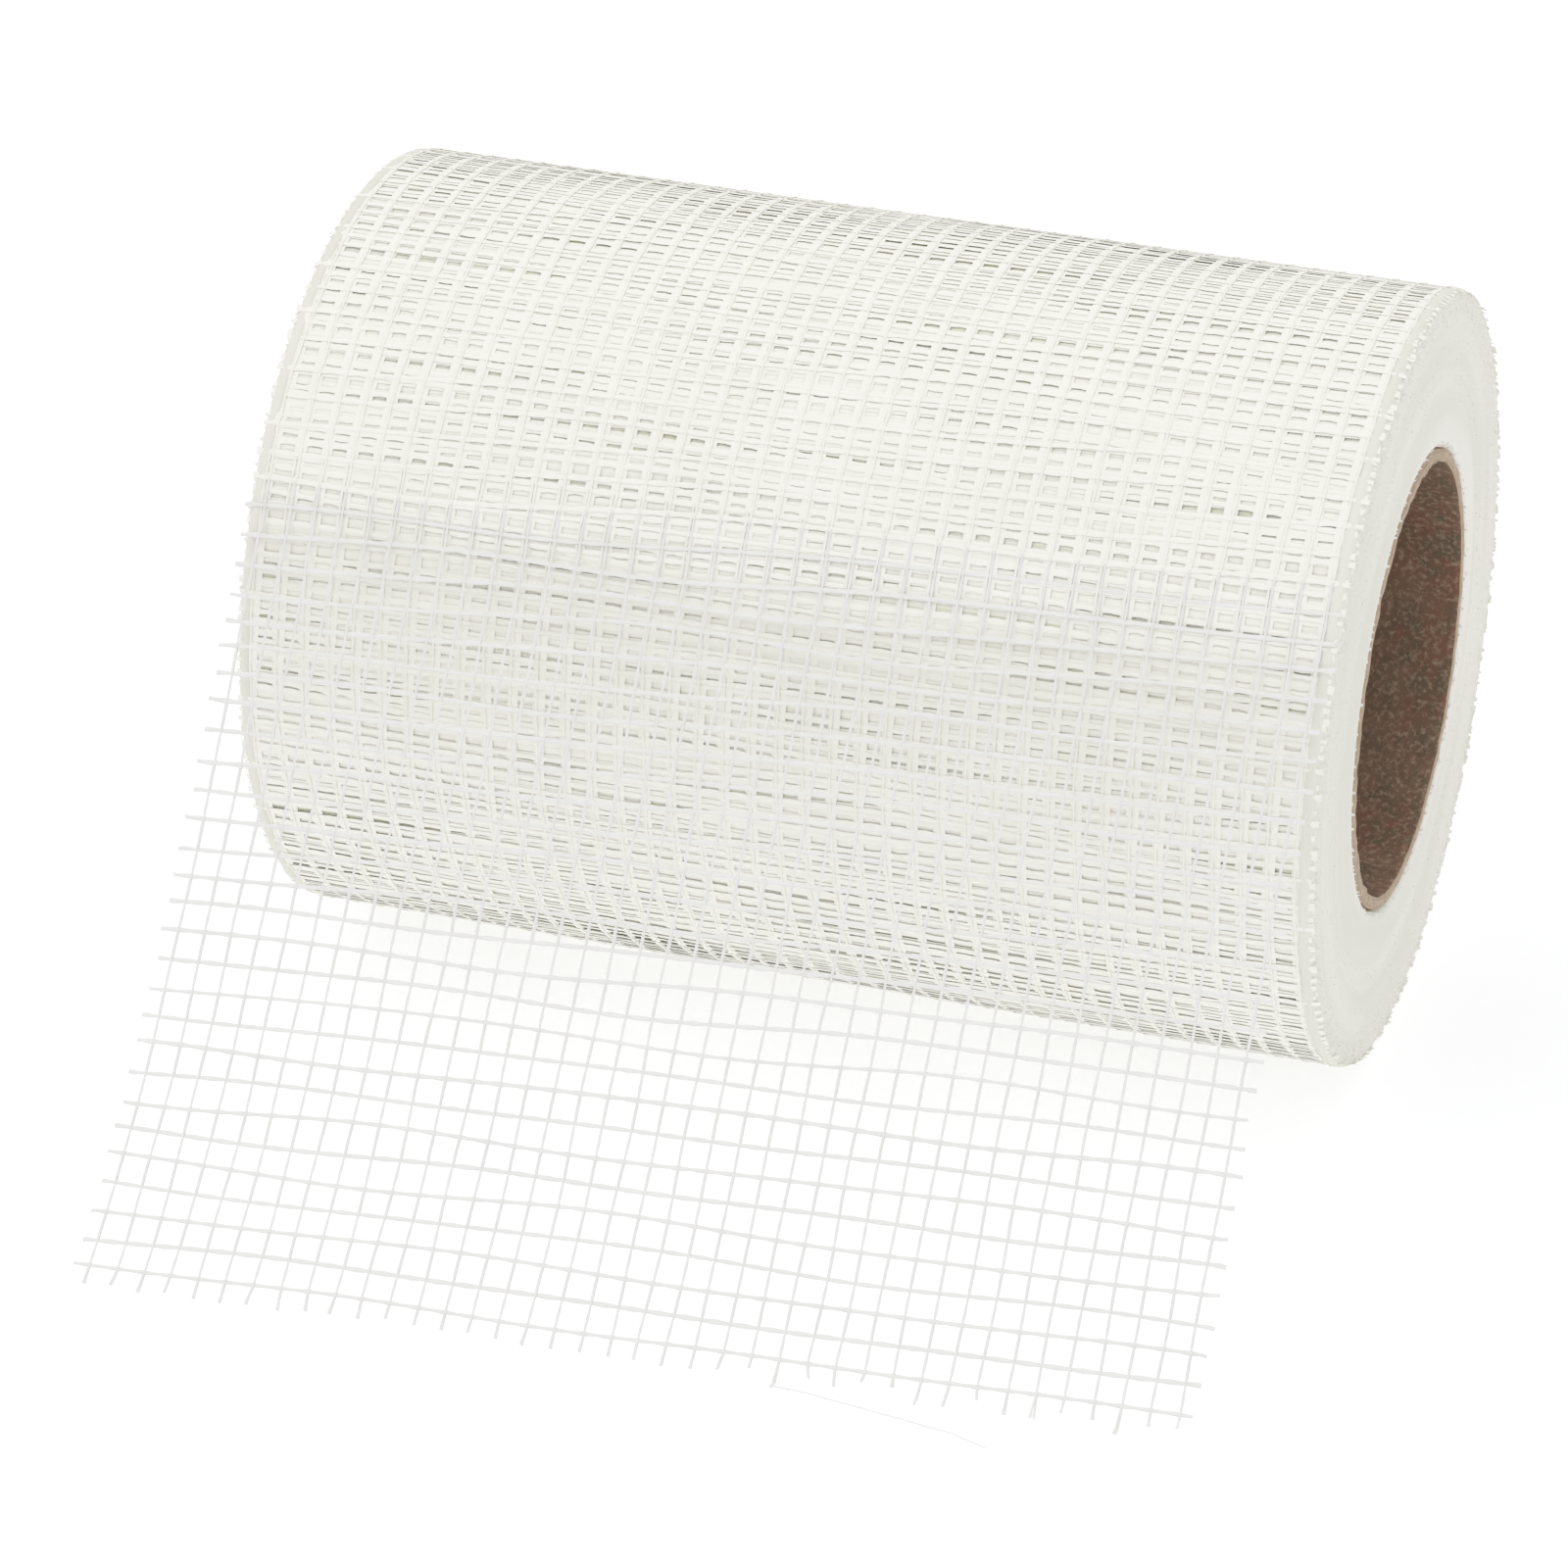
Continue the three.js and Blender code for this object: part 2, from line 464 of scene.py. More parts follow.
@dataclass(frozen=True)
class BuriedTurnsFinish:
    """The turns under the modelled ones: cross yarns with painted shade in the slits between them, and bands
    of lengthwise yarns.
    """

    warp_pitch: float
    warp_start: float
    bright: Colour = (0.92, 0.91, 0.855, 1.0)
    # Painted shade with a warm olive tint, where the slits between the buried yarns lie.
    slit_shade: Colour = (0.78, 0.77, 0.63, 1.0)
    streak_scale: Scale = (70.0, 1500.0, 1.0)
    streak_share: float = 0.6
    row_scale: Scale = (9.0, 420.0, 1.0)
    slit_low: float = 0.40
    slit_high: float = 0.56
    band_low: float = 0.45
    band_high: float = 0.9
    band_light: float = 0.8
    bump: float = 0.3
    bump_height: float = 0.08 * MM
    roughness: float = 0.7
    specular: float = 0.2

    def material(self) -> Material:
        """Make the material.

        Returns:
            The material.
        """
        nodes = Nodes("buried_turns")
        body, around = nodes.coordinates("Object"), nodes.coordinates("UV")
        streaks = nodes.noise(nodes.stretched(around, self.streak_scale), 1.0, 2.0)
        rows = nodes.noise(nodes.stretched(around, self.row_scale), 1.0, 1.0)
        depth = nodes.mean(self.streak_share, streaks, rows)
        x = nodes.add("ShaderNodeSeparateXYZ", Vector=body).outputs[0]
        phase = nodes.math("SUBTRACT", x, self.warp_start)
        phase = nodes.math("MULTIPLY", phase, FULL_TURN / self.warp_pitch)
        band = nodes.ramp(nodes.math("COSINE", phase), self.band_low, self.band_high)
        above = nodes.ramp(depth, self.slit_low, self.slit_high)
        lit = nodes.math("MAXIMUM", above, nodes.math("MULTIPLY", band, self.band_light))
        normal = nodes.bump(lit, self.bump, self.bump_height)
        # Slit shade where no yarn lies on top: painted shade between the buried yarns.
        return nodes.finish(nodes.blend(lit, self.slit_shade, self.bright), self.roughness, normal, self.specular)


@dataclass(frozen=True)
class CutEdgeFinish:
    """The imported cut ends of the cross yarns: soft off-white with faint rings round the axis."""

    height: float
    pale: Colour = (0.86, 0.845, 0.79, 1.0)
    dull: Colour = (0.79, 0.79, 0.715, 1.0)
    ring_scale: float = 420.0
    ring_share: float = 0.3
    ring_bump: float = 0.35
    ring_height: float = 0.2 * MM
    broad_scale: float = 110.0
    broad_drift: Scale = (0.0, 0.12, 0.12)
    fuzz_scale: float = 1400.0
    fuzz_bump: float = 0.5
    fuzz_height: float = 0.12 * MM
    tone_low: float = 0.38
    tone_high: float = 0.62
    roughness: float = 0.75
    specular: float = 0.2

    def material(self) -> Material:
        """Make the material.

        Returns:
            The material.
        """
        nodes = Nodes("cut_edges")
        body = nodes.coordinates("Object")
        ring_place = nodes.add("ShaderNodeCombineXYZ", X=nodes.radius(body, self.height)).outputs[0]
        rings = nodes.noise(ring_place, self.ring_scale, 4.0, 0.6)
        drift = nodes.stretched(body, self.broad_drift)
        settings = {"operation": "ADD"}
        broad_place = nodes.add("ShaderNodeVectorMath", settings, _0=ring_place, _1=drift).outputs[0]
        broad = nodes.noise(broad_place, self.broad_scale, 2.0)
        fuzz = nodes.noise(body, self.fuzz_scale, 4.0, 0.65)
        tone = nodes.mean(self.ring_share, rings, broad)
        colour = nodes.blend(nodes.ramp(tone, self.tone_low, self.tone_high), self.dull, self.pale)
        under = nodes.bump(rings, self.ring_bump, self.ring_height)
        normal = nodes.bump(fuzz, self.fuzz_bump, self.fuzz_height, under)
        return nodes.finish(colour, self.roughness, normal, self.specular)


@dataclass(frozen=True)
class GreyboardFinish:
    """Recycled board: mottled fibres with reddish and grey patches and pale specks."""

    base: Colour = (0.27, 0.178, 0.124, 1.0)
    red: Colour = (0.28, 0.150, 0.106, 1.0)
    grey: Colour = (0.20, 0.155, 0.104, 1.0)
    speck: Colour = (0.46, 0.34, 0.245, 1.0)
    broad_scale: float = 55.0
    patch_scale: float = 190.0
    patch_bump: float = 0.4
    patch_height: float = 0.3 * MM
    fibre_scale: float = 1000.0
    fibre_bump: float = 0.7
    fibre_height: float = 0.2 * MM
    roughness: float = 0.9
    specular: float = 0.15

    def material(self) -> Material:
        """Make the material.

        Returns:
            The material.
        """
        nodes = Nodes("greyboard")
        body = nodes.coordinates("Object")
        broad = nodes.noise(body, self.broad_scale, 4.0, 0.6)
        patches = nodes.noise(body, self.patch_scale, 4.0, 0.65)
        fibres = nodes.noise(body, self.fibre_scale, 5.0, 0.7)
        colour = nodes.blend(nodes.ramp(broad, 0.42, 0.62), self.base, self.red)
        colour = nodes.blend(nodes.ramp(patches, 0.46, 0.62), colour, self.grey)
        colour = nodes.blend(nodes.ramp(fibres, 0.49, 0.66), colour, self.speck)
        under = nodes.bump(patches, self.patch_bump, self.patch_height)
        normal = nodes.bump(fibres, self.fibre_bump, self.fibre_height, under)
        return nodes.finish(colour, self.roughness, normal, self.specular)


@dataclass(frozen=True)
class BoardEdgeFinish:
    """The cut end of the tube: tan board with thin lines between its plies."""

    height: float
    pale: Colour = (0.60, 0.49, 0.38, 1.0)
    dark: Colour = (0.40, 0.30, 0.22, 1.0)
    ply_scale: float = 2200.0
    ply_share: float = 0.45
    fibre_scale: float = 700.0
    tone_low: float = 0.36
    tone_high: float = 0.62
    bump: float = 0.6
    bump_height: float = 0.15 * MM
    roughness: float = 0.9
    specular: float = 0.15

    def material(self) -> Material:
        """Make the material.

        Returns:
            The material.
        """
        nodes = Nodes("board_edge")
        body = nodes.coordinates("Object")
        ply_place = nodes.add("ShaderNodeCombineXYZ", X=nodes.radius(body, self.height)).outputs[0]
        plies = nodes.noise(ply_place, self.ply_scale, 1.0)
        fibres = nodes.noise(body, self.fibre_scale, 4.0, 0.65)
        tone = nodes.mean(self.ply_share, plies, fibres)
        colour = nodes.blend(nodes.ramp(tone, self.tone_low, self.tone_high), self.dark, self.pale)
        normal = nodes.bump(tone, self.bump, self.bump_height)
        return nodes.finish(colour, self.roughness, normal, self.specular)


@dataclass(frozen=True)
class FloorFinish:
    """Plain white sweep under the roll, with a little light of its own so that it comes out white."""

    colour: Colour = (0.60, 0.603, 0.61, 1.0)
    paler: float = 1.01
    glow: float = 0.80
    cloud_scale: float = 2.0
    bump: float = 0.01
    bump_height: float = 1 * MM
    roughness: float = 0.9

    def material(self) -> Material:
        """Make the material.

        Returns:
            The material.
        """
        nodes = Nodes("floor_white")
        tone = nodes.noise(nodes.coordinates("Object"), self.cloud_scale, 1.0)
        pale = tuple(min(1.0, channel * self.paler) for channel in self.colour[:3]) + (1.0,)
        colour = nodes.blend(tone, self.colour, pale)
        nodes.shader.inputs["Emission Color"].default_value = self.colour
        nodes.shader.inputs["Emission Strength"].default_value = self.glow
        return nodes.finish(colour, self.roughness, nodes.bump(tone, self.bump, self.bump_height), 0.0)


@dataclass(frozen=True)
class RollSizes:
    """Sizes that the frame gives."""

    radius: float
    half_width: float
    core_half_length: float
    core_outer: float

    @classmethod
    def from_frame(cls) -> "RollSizes":
        """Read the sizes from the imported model.

        Returns:
            The roll's and the core's sizes.
        """
        _, web_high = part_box("mesh_web")
        core_low, core_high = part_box("core_tube")
        return cls(
            radius=web_high.y,
            half_width=web_high.x,
            core_half_length=core_high.x,
            core_outer=(core_high.z - core_low.z) / 2,
        )


@dataclass(frozen=True)
class WebColumn:
    """The web's line in the plane of one place across its width.

    Distances run along the web from where it leaves the roll: below zero on the loose end, above it on the
    roll.
    """

    x: float
    leave: float
    outer: float
    axis_height: float
    turn_step: float
    run: np.ndarray
    curve: np.ndarray
    normals: np.ndarray

    @property
    def free_length(self) -> float:
        """Length of the loose end here."""
        return float(self.run[-1])

    def at(self, distance: np.ndarray, lift: np.ndarray | float = 0.0) -> tuple[np.ndarray, np.ndarray]:
        """Find points of the web.

        Args:
            distance: Distances along the web.
            lift: How far outside the web's middle the points lie.

        Returns:
            The points and the web's outward unit vectors there.
        """
        wound = np.maximum(distance, 0.0)
        slope = self.turn_step / FULL_TURN
        turned = (self.outer - np.sqrt(self.outer**2 - 2 * slope * wound)) / slope
        angle = self.leave + turned
        radius = self.outer - slope * turned
        free = np.maximum(-distance, 0.0)
        on_roll = (distance >= 0)[..., None]
        round_out = np.stack([-np.cos(angle), np.sin(angle)], axis=-1)
        round_at = round_out * radius[..., None] + np.array([0.0, self.axis_height])
        free_at = np.stack([np.interp(free, self.run, self.curve[:, axis]) for axis in (0, 1)], axis=-1)
        free_out = np.stack([np.interp(free, self.run, self.normals[:, axis]) for axis in (0, 1)], axis=-1)
        flat = np.where(on_roll, round_at, free_at)
        out = unit(np.where(on_roll, round_out, free_out))
        flat = flat + out * np.broadcast_to(lift, distance.shape)[..., None]
        across = np.zeros(distance.shape)
        points = np.concatenate([(across + self.x)[..., None], flat], axis=-1)
        return points, np.concatenate([across[..., None], out], axis=-1)


@dataclass(frozen=True)
class WebPath:
    """Where the web lies: round the roll in turns, off it at the leave line and down to the floor."""

    sizes: RollSizes
    turn_step: float = 0.065 * MM
    skin: float = 0.3 * MM
    left_leave: float = math.radians(34.2)
    right_leave: float = math.radians(36.3)
    left_flatten: float = 22 * MM
    right_flatten: float = 45 * MM
    left_ahead: float = 86.1 * MM
    right_ahead: float = 72.2 * MM
    samples: int = 240

    def column(self, x: float) -> WebColumn:
        """Work out the web's line at one place across the width.

        Args:
            x: The place along the roll's axis.

        Returns:
            The line there.
        """
        share = (x / self.sizes.half_width + 1) / 2
        leave = self.left_leave + share * (self.right_leave - self.left_leave)
        flatten = self.left_flatten + share * (self.right_flatten - self.left_flatten)
        ahead = self.left_ahead + share * (self.right_ahead - self.left_ahead)
        outer, height = self.sizes.radius - self.skin, self.sizes.radius
        start = np.array([-math.cos(leave) * outer, height + math.sin(leave) * outer])
        tangent = np.array([-math.sin(leave), -math.cos(leave)])
        lead = start + tangent * (start[1] - flatten) / math.cos(leave)
        foot = np.array([-self.sizes.radius - ahead, self.skin])
        t = np.linspace(0, 1, self.samples)[:, None]
        curve = (1 - t) ** 2 * start + 2 * t * (1 - t) * lead + t**2 * foot
        along = unit(2 * (1 - t) * (lead - start) + 2 * t * (foot - lead))
        normals = np.stack([along[:, 1], -along[:, 0]], axis=-1)
        run = np.concatenate([[0.0], np.cumsum(np.linalg.norm(np.diff(curve, axis=0), axis=1))])
        return WebColumn(x, leave, outer, height, self.turn_step, run, curve, normals)


@dataclass
class MeshWeb:
    """The woven web: lengthwise yarns in twisted pairs that hold flat cross yarns."""

    sizes: RollSizes
    path: WebPath
    warp_count: int = 40
    warp_pitch: float = 4.95 * MM
    weft_pitch: float = 5.14 * MM
    stub: float = 3.7 * MM
    weft_width: float = 0.95 * MM
    weft_thickness: float = 0.24 * MM
    strand_width: float = 0.40 * MM
    strand_thickness: float = 0.22 * MM
    skew_run: float = 70 * MM
    band_width: float = 1.3 * MM
    band_thickness: float = 0.12 * MM
    pressed: float = 0.45
    shared_sag: Wander = Wander(11, 0.45 * MM, 0.11, 0.05)
    own_sag: Wander = Wander(12, 0.40 * MM, 0.10, 0.0085)
    warp_drift: Wander = Wander(13, 0.16 * MM, 0.0061, 0.045)
    turn_drift: float = 0.35 * MM
    second_drift: float = 0.6
    end_shares: tuple[float, ...] = (0.0, 0.4, 0.8)
    cut_least: float = 0.1
    cut_most: float = 0.7
    end_scatter: float = 0.09 * MM
    width_scatter: float = 0.07
    width_sway: float = 0.20
    thickness_sway: float = 0.12
    pair_lift: float = 0.16 * MM
    crossed_share: float = 0.35
    pair_spread: float = 0.10 * MM
    rng: np.random.Generator = field(default_factory=lambda: np.random.default_rng(5))

    def __post_init__(self) -> None:
        """Work out the lines of the lengthwise yarns."""
        half = (self.warp_count - 1) / 2
        self.warp_places = (np.arange(self.warp_count) - half) * self.warp_pitch
        self.middle_length = self.path.column(0.0).free_length

    def nominal(self, index: np.ndarray) -> np.ndarray:
        """Distance of a cross yarn along the web at mid-width, by its number from the free edge."""
        return index * self.weft_pitch + self.stub - self.middle_length

    def first_index(self, distance: float) -> int:
        """Number of the first cross yarn at or past a distance along the web."""
        return math.ceil((distance - self.stub + self.middle_length) / self.weft_pitch)

    def distance(self, index: np.ndarray, column: WebColumn) -> np.ndarray:
        """Where cross yarns cross one column.

        Args:
            index: Numbers of the cross yarns from the free edge; shares between two are allowed.
            column: The column.

        Returns:
            Distances along the web.
        """
        nominal = self.nominal(index)
        skew = 1 - smooth_step(0.0, self.skew_run, nominal)
        sag = self.shared_sag.at(column.x, nominal) + self.own_sag.at(column.x, nominal)
        return nominal - (column.free_length - self.middle_length) * skew + sag

    def warp_shift(self, place: float, distance: np.ndarray) -> np.ndarray:
        """Work out the sideways shift of a lengthwise yarn, with the drift of each turn on the roll.

        Args:
            place: The yarn's place across the web.
            distance: Distances along the web.

        Returns:
            The shift at each distance.
        """
        turn = np.maximum(distance, 0.0) / (FULL_TURN * self.sizes.radius)
        drift = self.turn_drift * (np.sin(4.1 * turn) + self.second_drift * np.sin(9.7 * turn + 1.0))
        return self.warp_drift.at(place, distance) + drift

    def wefts(self, first: int, last: int, per_cell: int, width: float = 1.0, thickness: float = 1.0,
              droop: float = 0.0, trimmed: float = 0.0) -> Yarns:
        """Make cross yarns.

        Args:
            first: Number of the first one from the free edge.
            last: Number after the last one.
            per_cell: Stations between two lengthwise yarns.
            width: Factor on their width.
            thickness: Factor on their thickness.
            droop: How far their cut ends bend down over the edge of the roll.
            trimmed: Share of the last step of their ends that is always cut off.

        Returns:
            The yarns.
        """
        index = np.arange(first, last)
        cells = np.arange((self.warp_count - 1) * per_cell + 1) / per_cell
        inner = cells * self.warp_pitch + self.warp_places[0]
        edge = self.sizes.half_width
        overhang = (edge + self.warp_places[0]) * np.array(self.end_shares)
        places = np.concatenate([-edge + overhang, inner, (edge - overhang)[::-1]])
        points, outs = [], []
        for place in places:
            column = self.path.column(float(place))
            past_warps = max(0.0, (abs(place) + self.warp_places[0]) / (edge + self.warp_places[0]))
            at, out = column.at(self.distance(index, column), -droop * past_warps**2)
            points.append(at)
            outs.append(out)
        centres, out = np.stack(points, axis=1), np.stack(outs, axis=1)
        for end, neighbour in ((0, 1), (-1, -2)):
            cut = self.rng.uniform(self.cut_least, self.cut_most, len(index))[:, None] + trimmed
            centres[:, end] += (centres[:, neighbour] - centres[:, end]) * cut
            centres[:, end] += self.rng.normal(0, self.end_scatter, (len(index), 3))
        along = unit(np.gradient(centres, axis=1))
        phase = np.cos(FULL_TURN * (places - self.warp_places[0]) / self.warp_pitch)
        lean = np.where(index % 2 == 0, 1.0, -1.0)[:, None] * phase[None]
        grain = self.rng.normal(1.0, self.width_scatter, (len(index), 1)) * np.ones(len(places))
        widths = self.weft_width * width * grain * (1 + self.width_sway * lean)
        thicknesses = self.weft_thickness * thickness * (1 + self.thickness_sway * lean)
        thicknesses = np.broadcast_to(thicknesses, widths.shape)
        return Yarns(centres, unit(np.cross(out, along)), out, widths, thicknesses)

    def warps(self, first: float, last: float, per_cell: int, strands: int) -> list[Yarns]:
        """Make lengthwise yarns.

        Args:
            first: Number of the cross yarn where they start, or a share between two.
            last: Number of the cross yarn where they end.
            per_cell: Stations between two cross yarns.
            strands: 2 for twisted pairs, or 1 for a single thicker yarn.

        Returns:
            The yarns of each strand.
        """
        index = np.linspace(first, last, int(round((last - first) * per_cell)) + 1)
        made = []
        for strand in range(strands):
            side = 1.0 if strand == 0 else -1.0
            pair = strands == 2
            held = self.crossed_share + (1 - self.crossed_share) * np.cos(math.pi * index) ** 2
            lift = side * self.pair_lift * held * pair
            spread = side * self.pair_spread * np.sin(math.pi * index) * pair
            points, outs = [], []
            for place in self.warp_places:
                column = self.path.column(float(place))
                distance = self.distance(index, column)
                at, out = column.at(distance, lift)
                at[:, 0] += self.warp_shift(float(place), distance) + spread
                points.append(at)
                outs.append(out)
            centres, out = np.stack(points), np.stack(outs)
            along = unit(np.gradient(centres, axis=1))
            size = np.ones(centres.shape[:2])
            width = self.strand_width if pair else self.band_width
            thickness = self.strand_thickness if pair else self.band_thickness
            made.append(Yarns(centres, unit(np.cross(out, along)), out, size * width, size * thickness))
        return made


def settle(piece: bpy.types.Object, slot: str, *nodes: str) -> bpy.types.Object:
    """Ride a piece on the roll, hide the CAD nodes that it stands for, and report it.

    Args:
        piece: The piece.
        slot: Not used.
        nodes: CAD nodes that it replaces.

    Returns:
        The piece.
    """
    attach(piece, BODY)
    if nodes:
        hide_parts(*nodes)
    triangles = sum(len(face.vertices) - 2 for face in piece.data.polygons)
    log.info("%s: %d triangles", piece.name, triangles)
    return piece


@dataclass
class LooseEnd:
    """The unrolled end of the web, from the leave line to its cut edge on the floor."""

    web: MeshWeb
    # A darker copy of the roll's yarn colour: painted shade on the loose yarns.
    bright: Colour = (0.87, 0.865, 0.85, 1.0)
    shaded: Colour = (0.83, 0.825, 0.81, 1.0)
    stations: int = 4
    narrowed: float = 0.8
    knob: float = 1.25
    frayed_from: int = 23
    even_stub: tuple[float, float] = (-0.3 * MM, 0.5 * MM)
    frayed_stub: tuple[float, float] = (-1.6 * MM, 2.6 * MM)
    shared_swing: float = 0.20 * MM
    own_swing: float = 0.05 * MM
    swing_bend: float = 1.2
    floor_gap: float = 0.12 * MM
    stray_size: float = 0.26 * MM
    stray_steps: int = 24
    stray_wave: float = 3 * MM
    stray_route: tuple[tuple[float, float], ...] = (
        (27.8, -149.9), (34.9, -150.3), (44.0, -151.6), (53.1, -152.9), (60.3, -153.9), (67.2, -156.2),
    )

    def build(self, roll: str) -> bpy.types.Object:
        """Make the loose end.

        Args:
            roll: Not used.

        Returns:
            The finished piece.
        """
        web, builder = self.web, MeshBuilder()
        last = web.first_index(0.0)
        wefts = web.wefts(0, last, self.stations, self.narrowed)
        builder.add_yarns(wefts, Section.RIBBON)
        stub = web.stub / web.weft_pitch
        for strand, yarns in enumerate(web.warps(-stub, float(last), self.stations, 2)):
            self._fray(yarns, strand)
            builder.add_yarns(yarns, Section.DIAMOND)
        builder.add_yarns(self._stray_strand(), Section.DIAMOND)
        finish = GlassYarnFinish("loose_end_yarn", self.bright, self.shaded)
        piece = builder.make("loose_end", [finish.material()])
        settle(piece, "fiberglass", "mesh_web")
        size = (2 * web.sizes.half_width, web.middle_length)
        covered = len(wefts.centres) * size[0] * web.weft_width * self.narrowed
        covered += 2 * web.warp_count * size[1] * web.strand_width
        return piece

    def _fray(self, yarns: Yarns, strand: int) -> None:
        """Swing, lengthen and thicken the cut stubs of the lengthwise yarns.

        Args:
            yarns: One strand of each lengthwise yarn, from its cut end.
            strand: Number of the strand, so that both swing together and part only a little.
        """
        shared, own = np.random.default_rng(21), np.random.default_rng(22 + strand)
        moved = self.stations
        for yarn in range(len(yarns.centres)):
            swing = shared.normal(0, self.shared_swing) + own.normal(0, self.own_swing)
            frayed = yarn >= self.frayed_from
            longer = shared.uniform(*(self.frayed_stub if frayed else self.even_stub))
            centres = yarns.centres[yarn]
            share = np.linspace(1, 0, moved)[:, None] ** self.swing_bend
            along = unit(centres[0] - centres[moved])
            centres[:moved] += share * (along * longer + np.array([swing * (1 + frayed), 0.0, 0.0]))
            centres[:moved, 2] = np.maximum(centres[:moved, 2], self.floor_gap)
        yarns.widths[:, :1] *= self.knob
        yarns.thicknesses[:, :1] *= self.knob

    def _stray_strand(self) -> Yarns:
        """Make the fine filament that lies on the floor along the cut edge.

        Returns:
            The filament.
        """
        route = np.array(self.stray_route) * MM
        run = np.concatenate([[0.0], np.cumsum(np.linalg.norm(np.diff(route, axis=0), axis=1))])
        steps = np.linspace(0, run[-1], self.stray_steps)
        x, y = (np.interp(steps, run, route[:, axis]) for axis in (0, 1))
        height = self.stray_size * (0.6 + 0.4 * np.sin(steps / self.stray_wave) ** 2)
        centres = np.stack([x, y, height], axis=-1)[None]
        out = np.zeros(centres.shape) + np.array([0.0, 0.0, 1.0])
        size = np.full(centres.shape[:2], self.stray_size)
        return Yarns(centres, unit(np.cross(out, np.gradient(centres, axis=1))), out, size, size)


@dataclass
class OuterTurns:
    """The turns of the web that show on the roll, as real yarns.

    The outermost has twisted pairs. The banded ones under it have their lengthwise yarns pressed flat and
    side by side into bands, and of the deepest only the cross yarns show.
    """

    web: MeshWeb
    banded_turns: int = 3
    crossed_turns: int = 4
    smooth_turns: int = 2
    spread: float = 1.2
    first_thickness: float = 0.7
    edge_turns: int = 3
    edge_droop: float = 0.55 * MM
    tucked_droop: float = 1.2 * MM
    tucked_trim: float = 0.3
    bright: tuple[float, float, float] = (0.94, 0.93, 0.885)
    shaded: tuple[float, float, float] = (0.915, 0.905, 0.85)
    # Taken off the colours in step with depth: painted warm shade of the deeper turns.
    painted_depth_shade: tuple[float, float, float] = (0.0, 0.005, 0.02)

    @property
    def count(self) -> int:
        """Number of all modelled turns."""
        return 1 + self.banded_turns + self.crossed_turns

    def build(self) -> list[bpy.types.Object]:
        """Make one piece of cross yarns and, where they show, one of lengthwise yarns for each turn.

        Returns:
            The finished pieces.
        """
        web, pieces = self.web, []
        start = float(web.first_index(0.0))
        for turn in range(self.count):
            radius = web.sizes.radius - turn / 2 * web.path.turn_step
            end = float(web.first_index((turn + 1) * FULL_TURN * radius))
            depth = turn / (self.count - 1)
            finish = self._finish(turn, depth)
            wefts = MeshBuilder()
            per_cell = 2 if turn <= self.smooth_turns else 1
            section = Section.RIBBON if turn == 0 else Section.DIAMOND
            wider = 1.0 + self.spread * depth
            thinner = self.first_thickness if turn == 0 else web.pressed
            reaches = turn < self.edge_turns
            droop, trimmed = (self.edge_droop, 0.0) if reaches else (self.tucked_droop, self.tucked_trim)
            yarns = web.wefts(int(start), int(end), per_cell, wider, thinner, droop, trimmed)
            wefts.add_yarns(yarns, section)
            piece = wefts.make(f"turn_{turn + 1}_cross_yarns", [finish])
            pieces.append(settle(piece, "fiberglass", "mesh_web"))
            if turn <= self.banded_turns:
                warps = MeshBuilder()
                strands = 2 if turn == 0 else 1
                for yarns in web.warps(start, end, strands, strands):
                    warps.add_yarns(yarns, Section.DIAMOND)
                piece = warps.make(f"turn_{turn + 1}_long_yarns", [finish])
                pieces.append(settle(piece, "fiberglass", "mesh_web"))
            start = end
        return pieces

    def _finish(self, turn: int, depth: float) -> Material:
        """Make a turn's yarn material, a little warmer and darker the deeper it lies: painted shade of the
        deeper turns.

        Args:
            turn: The turn, from 0 for the outermost.
            depth: Its place from 0 for the outermost to 1 for the deepest.

        Returns:
            The material.
        """
        bright = tuple(channel - shade_step * depth for channel, shade_step in zip(self.bright, self.painted_depth_shade)) + (1.0,)
        shaded = tuple(channel - shade_step * depth for channel, shade_step in zip(self.shaded, self.painted_depth_shade)) + (1.0,)
        return GlassYarnFinish(f"turn_{turn + 1}_yarn", bright, shaded).material()


